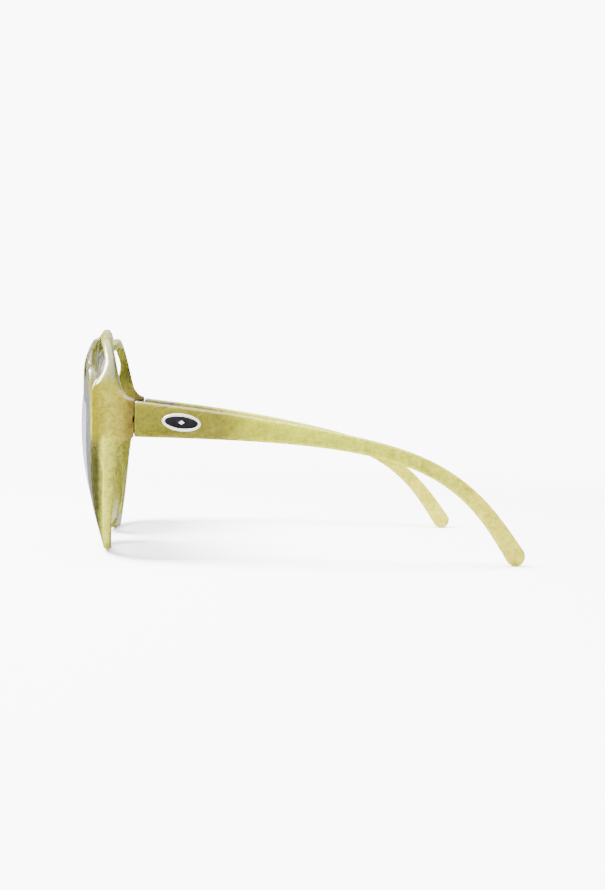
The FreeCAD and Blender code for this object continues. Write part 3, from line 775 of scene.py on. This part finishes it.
# middle band, across the end piece: lighter in the middle and darker towards the joint, partly the
# resin's own colour and partly a painted sheen and painted shade
MIDDLE_TONES_WITH_PAINTED_SHADING = [
    (-68.0, (0.095, 0.090, 0.005)), (-59.5, (0.122, 0.106, 0.003)), (-55.1, (0.172, 0.156, 0.014)),
    (-52.0, (0.135, 0.112, 0.010)), (-49.8, (0.072, 0.051, 0.005)), (-48.0, (0.066, 0.048, 0.005))]
# top band: dark across the rims and the back slope of the outer arc, with a light strip along the
# arc's crest; painted shade on the slopes and a painted highlight on the crest, over the resin's own
# colour
HIGH_TONES_WITH_PAINTED_SHADING = [
    (-68.0, (0.034, 0.034, 0.003)), (-61.6, (0.036, 0.036, 0.003)), (-57.6, (0.140, 0.140, 0.014)),
    (-56.0, (0.085, 0.085, 0.007)), (-54.5, (0.045, 0.046, 0.004)), (-48.0, (0.050, 0.050, 0.005))]


PLAIN = (1.0, 1.0, 1.0)
CLOUD_TINTS = [(0.30, (0.80, 0.77, 0.66)), (0.5, PLAIN), (0.7, (1.2, 1.2, 1.4))]
FLECK_TINTS = [(0.36, (0.76, 0.72, 0.62)), (0.5, PLAIN), (0.65, (1.22, 1.22, 1.4))]


def resin(name, bands):
    """Moulded resin: cloudy olive and straw yellow, translucent and polished.

    bands: the tones along Y, which hold painted light and shade as well as the resin's own colour;
    first the lowest band, then (from z, to z, tones) for each above it."""
    made, tree, shader = material(name)
    here = tree.nodes.new("ShaderNodeTexCoord")
    axes = split_axes(tree, here.outputs["Object"])
    first, last = RESIN_SPAN
    along = mapped(tree, axes["Y"], first * MM, last * MM, smooth=False)

    def toned(tones):
        return ramp(tree, along, [((y - first) / (last - first), colour) for y, colour in tones])

    base = toned(bands[0])
    for low, high, tones in bands[1:]:
        share = mapped(tree, axes["Z"], low * MM, high * MM)
        base = mix_colour(tree, share, base, toned(tones))
    where = position(tree, (1.0, 0.85, 1.0))
    cloudy = ramp(tree, noise(tree, where, 280.0, 5.0, 0.6, 0.8), CLOUD_TINTS)
    flecked = ramp(tree, noise(tree, where, 1100.0, 4.0, 0.72), FLECK_TINTS)
    clouded = mix_colour(tree, 1.0, base, cloudy, "MULTIPLY")
    colour = mix_colour(tree, 1.0, clouded, flecked, "MULTIPLY")
    tree.links.new(colour, shader.inputs["Base Color"])
    shader.inputs["IOR"].default_value = 1.5
    shader.inputs["Roughness"].default_value = 0.18
    shader.inputs["Subsurface Weight"].default_value = 0.5
    shader.inputs["Subsurface Radius"].default_value = (1.0, 0.9, 0.3)
    shader.inputs["Subsurface Scale"].default_value = 2.0 * MM
    shader.inputs["Coat Weight"].default_value = 0.2
    shader.inputs["Coat Roughness"].default_value = 0.06
    bumped(tree, shader, noise(tree, where, 120.0, 3.0, 0.5), 0.12, 0.6 * MM)
    return made


TINT_LOW, TINT_HIGH = 4.0, 60.0
LENS_TINTS = [
    (0.0, (0.86, 0.86, 0.87)), (0.3, (0.74, 0.75, 0.77)),
    (0.62, (0.60, 0.61, 0.64)), (1.0, (0.45, 0.46, 0.50))]
SHINE_SHARE, SHINE_LEAST = 0.5, 0.03


def lens_glass():
    """Thin tinted lens: darkest at the top and nearly clear at the bottom."""
    made, tree, shader = material("gradient_lens")
    where = tree.nodes.new("ShaderNodeTexCoord")
    axes = split_axes(tree, where.outputs["Object"])
    height = mapped(tree, axes["Z"], TINT_LOW * MM, TINT_HIGH * MM, smooth=False)
    clear = tree.nodes.new("ShaderNodeBsdfTransparent")
    tree.links.new(ramp(tree, height, LENS_TINTS), clear.inputs["Color"])
    shader.inputs["Base Color"].default_value = (0.30, 0.33, 0.42, 1.0)
    shader.inputs["Roughness"].default_value = 0.03
    shader.inputs["IOR"].default_value = 1.5
    shader.inputs["Coat Weight"].default_value = 1.0
    shader.inputs["Coat Roughness"].default_value = 0.02
    facing = tree.nodes.new("ShaderNodeFresnel")
    facing.inputs["IOR"].default_value = 1.5
    shine = tree.nodes.new("ShaderNodeMath")
    shine.operation = "MULTIPLY_ADD"
    shine.inputs[1].default_value = SHINE_SHARE
    shine.inputs[2].default_value = SHINE_LEAST
    tree.links.new(facing.outputs["Fac"], shine.inputs[0])
    both = tree.nodes.new("ShaderNodeMixShader")
    tree.links.new(shine.outputs[0], both.inputs[0])
    tree.links.new(clear.outputs[0], both.inputs[1])
    tree.links.new(shader.outputs[0], both.inputs[2])
    tree.links.new(both.outputs[0], tree.nodes["Material Output"].inputs["Surface"])
    return made


def metal(name, colour, roughness, scratch, metallic=1.0):
    """Metal with fine polishing marks."""
    made, tree, shader = material(name)
    where = position(tree, (1.0, 0.15, 1.0))
    marks = noise(tree, where, 2600.0, 3.0, 0.6)
    worn = ramp(tree, marks, [(0.3, tuple(c * 0.78 for c in colour)), (0.7, colour)])
    tree.links.new(worn, shader.inputs["Base Color"])
    shader.inputs["Metallic"].default_value = metallic
    shader.inputs["Roughness"].default_value = roughness
    bumped(tree, shader, marks, scratch, 0.05 * MM)
    return made


def enamel_black():
    """Nearly black glossy enamel."""
    made, tree, shader = material("black_enamel")
    where = position(tree)
    cloud = noise(tree, where, 700.0, 3.0)
    colour = ramp(tree, cloud, [(0.35, (0.002, 0.002, 0.003)), (0.7, (0.005, 0.005, 0.007))])
    tree.links.new(colour, shader.inputs["Base Color"])
    shader.inputs["Roughness"].default_value = 0.12
    shader.inputs["Coat Weight"].default_value = 0.6
    shader.inputs["Coat Roughness"].default_value = 0.04
    bumped(tree, shader, cloud, 0.05, 0.1 * MM)
    return made


def dressed(obj, made):
    obj.data.materials.clear()
    obj.data.materials.append(made)
    return obj


def recoloured(node, made):
    """Give a CAD node a better material through its object's own slots."""
    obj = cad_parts[node]
    for held in obj.material_slots:
        held.link = "OBJECT"
        held.material = made


# ------------------------------------------------------------------- camera, floor and light

CAMERA_PLACE = (0.48355, -0.03706, 0.04907)
CAMERA_YAW = math.radians(5.017)
CAMERA_PITCH = math.radians(-2.022)
CAMERA_ROLL = math.radians(-1.672)
CAMERA_LENS = 59.29


def camera():
    """A level look along -X, then turned towards the temple tips, tipped down and rolled."""
    data = bpy.data.cameras.new("camera")
    data.lens = CAMERA_LENS
    data.sensor_width = 36.0
    data.clip_start = 0.01
    data.clip_end = 50.0
    eye = bpy.data.objects.new("camera", data)
    base = Matrix(((0.0, 0.0, 1.0), (1.0, 0.0, 0.0), (0.0, 1.0, 0.0))).to_4x4()
    yaw = Matrix.Rotation(-CAMERA_YAW, 4, "Z")
    pitch = Matrix.Rotation(CAMERA_PITCH, 4, "X")
    roll = Matrix.Rotation(-CAMERA_ROLL, 4, "Z")
    eye.matrix_world = Matrix.Translation(CAMERA_PLACE) @ yaw @ base @ pitch @ roll
    bpy.context.scene.collection.objects.link(eye)
    bpy.context.scene.camera = eye


WHITE = 9.7
FLOOR_GLOW = 0.6
GLOW_FROM, GLOW_TO = 0.15, 0.6
PAPER_TONE = 0.8


def revolved(name, profile, around=96):
    """A surface of revolution round Z, closed at the middle when the profile starts there."""
    turns = np.linspace(0, 2 * np.pi, around, endpoint=False)
    rings = []
    for radius, height in profile:
        level = np.full(around, height)
        rings.append(np.stack([radius * np.cos(turns), radius * np.sin(turns), level], axis=1))
    faces = []
    for i in range(len(profile) - 1):
        a, b = i * around, (i + 1) * around
        for j in range(around):
            k = (j + 1) % around
            faces.append((a + j, b + j, b + k, a + k))
    return mesh_object(name, np.concatenate(rings), faces)


def paper(name):
    """White paper that glows a little, and glows fully further out, where no shadow falls."""
    made, tree, shader = material(name)
    where = tree.nodes.new("ShaderNodeTexCoord")
    reach = tree.nodes.new("ShaderNodeVectorMath")
    reach.operation = "LENGTH"
    tree.links.new(where.outputs["Object"], reach.inputs[0])
    distance = reach.outputs["Value"]
    glow = mapped(tree, distance, GLOW_FROM, GLOW_TO, FLOOR_GLOW, WHITE)
    tone = mapped(tree, distance, GLOW_FROM, GLOW_TO, PAPER_TONE, 0.0)
    tree.links.new(tone, shader.inputs["Base Color"])
    tree.links.new(glow, shader.inputs["Emission Strength"])
    shader.inputs["Emission Color"].default_value = (1.0, 1.0, 1.0, 1.0)
    shader.inputs["Roughness"].default_value = 1.0
    shader.inputs["Specular IOR Level"].default_value = 0.0
    return made


FLOOR_RADII = (0.0, 0.1, 0.3, 0.7, 1.6)
WALL_BEND, WALL_HEIGHT = 0.9, 2.4


def backdrop():
    """A white floor that reflections don't show, and a white bowl that only the camera sees."""
    white = paper("white_paper")
    floor = dressed(revolved("floor", [(radius, 0.0) for radius in FLOOR_RADII]), white)
    profile = []
    for turn in np.linspace(0.0, 90.0, 14):
        angle = math.radians(turn)
        out = FLOOR_RADII[-1] + WALL_BEND * math.sin(angle)
        profile.append((out, WALL_BEND - WALL_BEND * math.cos(angle)))
    profile.append((FLOOR_RADII[-1] + WALL_BEND, WALL_HEIGHT))
    wall = dressed(revolved("wall", profile), white)
    floor.visible_glossy = False
    wall.visible_diffuse = False
    wall.visible_glossy = False
    wall.visible_shadow = False


def area_light(name, place, target, size, power):
    """A rectangular lamp at a place in metres, turned to face a target."""
    data = bpy.data.lights.new(name, "AREA")
    data.shape = "RECTANGLE"
    data.size, data.size_y = size
    data.energy = power
    lamp = bpy.data.objects.new(name, data)
    lamp.location = place
    lamp.rotation_euler = (Vector(target) - Vector(place)).to_track_quat("-Z", "Y").to_euler()
    bpy.context.scene.collection.objects.link(lamp)


# the world's glow along an axis, as (axis, dim from, bright from, dim level, bright level)
AHEAD_GLOW = ((0.8, 0.6, 0.0), 0.3, -0.5, 0.45, 1.3)
OVERHEAD_GLOW = ((0, 0, 1), 0.7, 0.97, 0.0, WHITE)
HORIZON = (-0.3, 0.1, 0.1, 1.0)


def lights():
    """Bright from above, ahead and the far side; dim from the camera side, behind and below."""
    world = bpy.data.worlds.new("studio")
    world.use_nodes = True
    tree = world.node_tree
    where = tree.nodes.new("ShaderNodeTexCoord")
    levels = []
    for axis, low, high, dim, bright in (AHEAD_GLOW, OVERHEAD_GLOW):
        facing = tree.nodes.new("ShaderNodeVectorMath")
        facing.operation = "DOT_PRODUCT"
        facing.inputs[1].default_value = axis
        tree.links.new(where.outputs["Generated"], facing.inputs[0])
        levels.append(mapped(tree, facing.outputs["Value"], low, high, dim, bright))
    brighter = combined(tree, "MAXIMUM", *levels)
    above = mapped(tree, split_axes(tree, where.outputs["Generated"])["Z"], *HORIZON)
    lit = combined(tree, "MULTIPLY", brighter, above)
    tree.links.new(lit, tree.nodes["Background"].inputs["Strength"])
    tree.nodes["Background"].inputs["Color"].default_value = (1.0, 1.0, 1.0, 1.0)
    bpy.context.scene.world = world
    area_light("front_softbox", (0.1, -0.69, 1.1), (0.0, 0.0, 0.02), (0.7, 0.7), 175.0)


# ------------------------------------------------------------------- putting it together

camera()
backdrop()
lights()

# the front's tone bands carry painted shade and painted highlights as well as the resin's colour
front_bands_with_painted_shading = [LOW_TONES_WITH_PAINTED_SHADING, (31.0, 38.0, MIDDLE_TONES_WITH_PAINTED_SHADING), (47.0, 54.0, HIGH_TONES_WITH_PAINTED_SHADING)]
resin_front = resin("marbled_resin_front_painted_shading", front_bands_with_painted_shading)
resin_temple = resin("marbled_resin_temple_painted_shading", [TEMPLE_TONES_WITH_PAINTED_SHADING])
glass = lens_glass()
silver = metal("satin_silver", (0.86, 0.80, 0.72), 0.3, 0.06, 0.5)
hinge_metal = metal("nickel_silver", (0.62, 0.59, 0.52), 0.34, 0.12)
screw_metal = metal("screw_steel", (0.70, 0.70, 0.70), 0.25, 0.10)
black = enamel_black()

front = dressed(front_moulding(), resin_front)
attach(front, "front")
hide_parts("frame_front")

for side, sign in SIDES.items():
    lens = dressed(lens_mesh(f"lens_pane_{side}", sign), glass)
    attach(lens, "front")
    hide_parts(f"lens_{side}")

    body = f"temple_{side}_body"
    bar = dressed(temple_mesh(side, sign), resin_temple)
    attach(bar, body)
    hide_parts(f"temple_{side}")

    plate, inlay, lozenge = emblem_meshes(side, sign)
    rows = (
        (plate, silver, "emblem_plate", "emblem_metal"),
        (inlay, black, "emblem_enamel", "emblem_enamel"),
        (lozenge, silver, "emblem_ornament", "emblem_metal"))
    for piece, made, node, slot_name in rows:
        dressed(piece, made)
        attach(piece, body)
        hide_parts(f"{node}_{side}")

    for node in ("hinge_front_leaf", "hinge_temple_leaf"):
        recoloured(f"{node}_{side}", hinge_metal)
    for node in ("hinge_screw", "front_leaf_screws", "temple_leaf_screws"):
        recoloured(f"{node}_{side}", screw_metal)
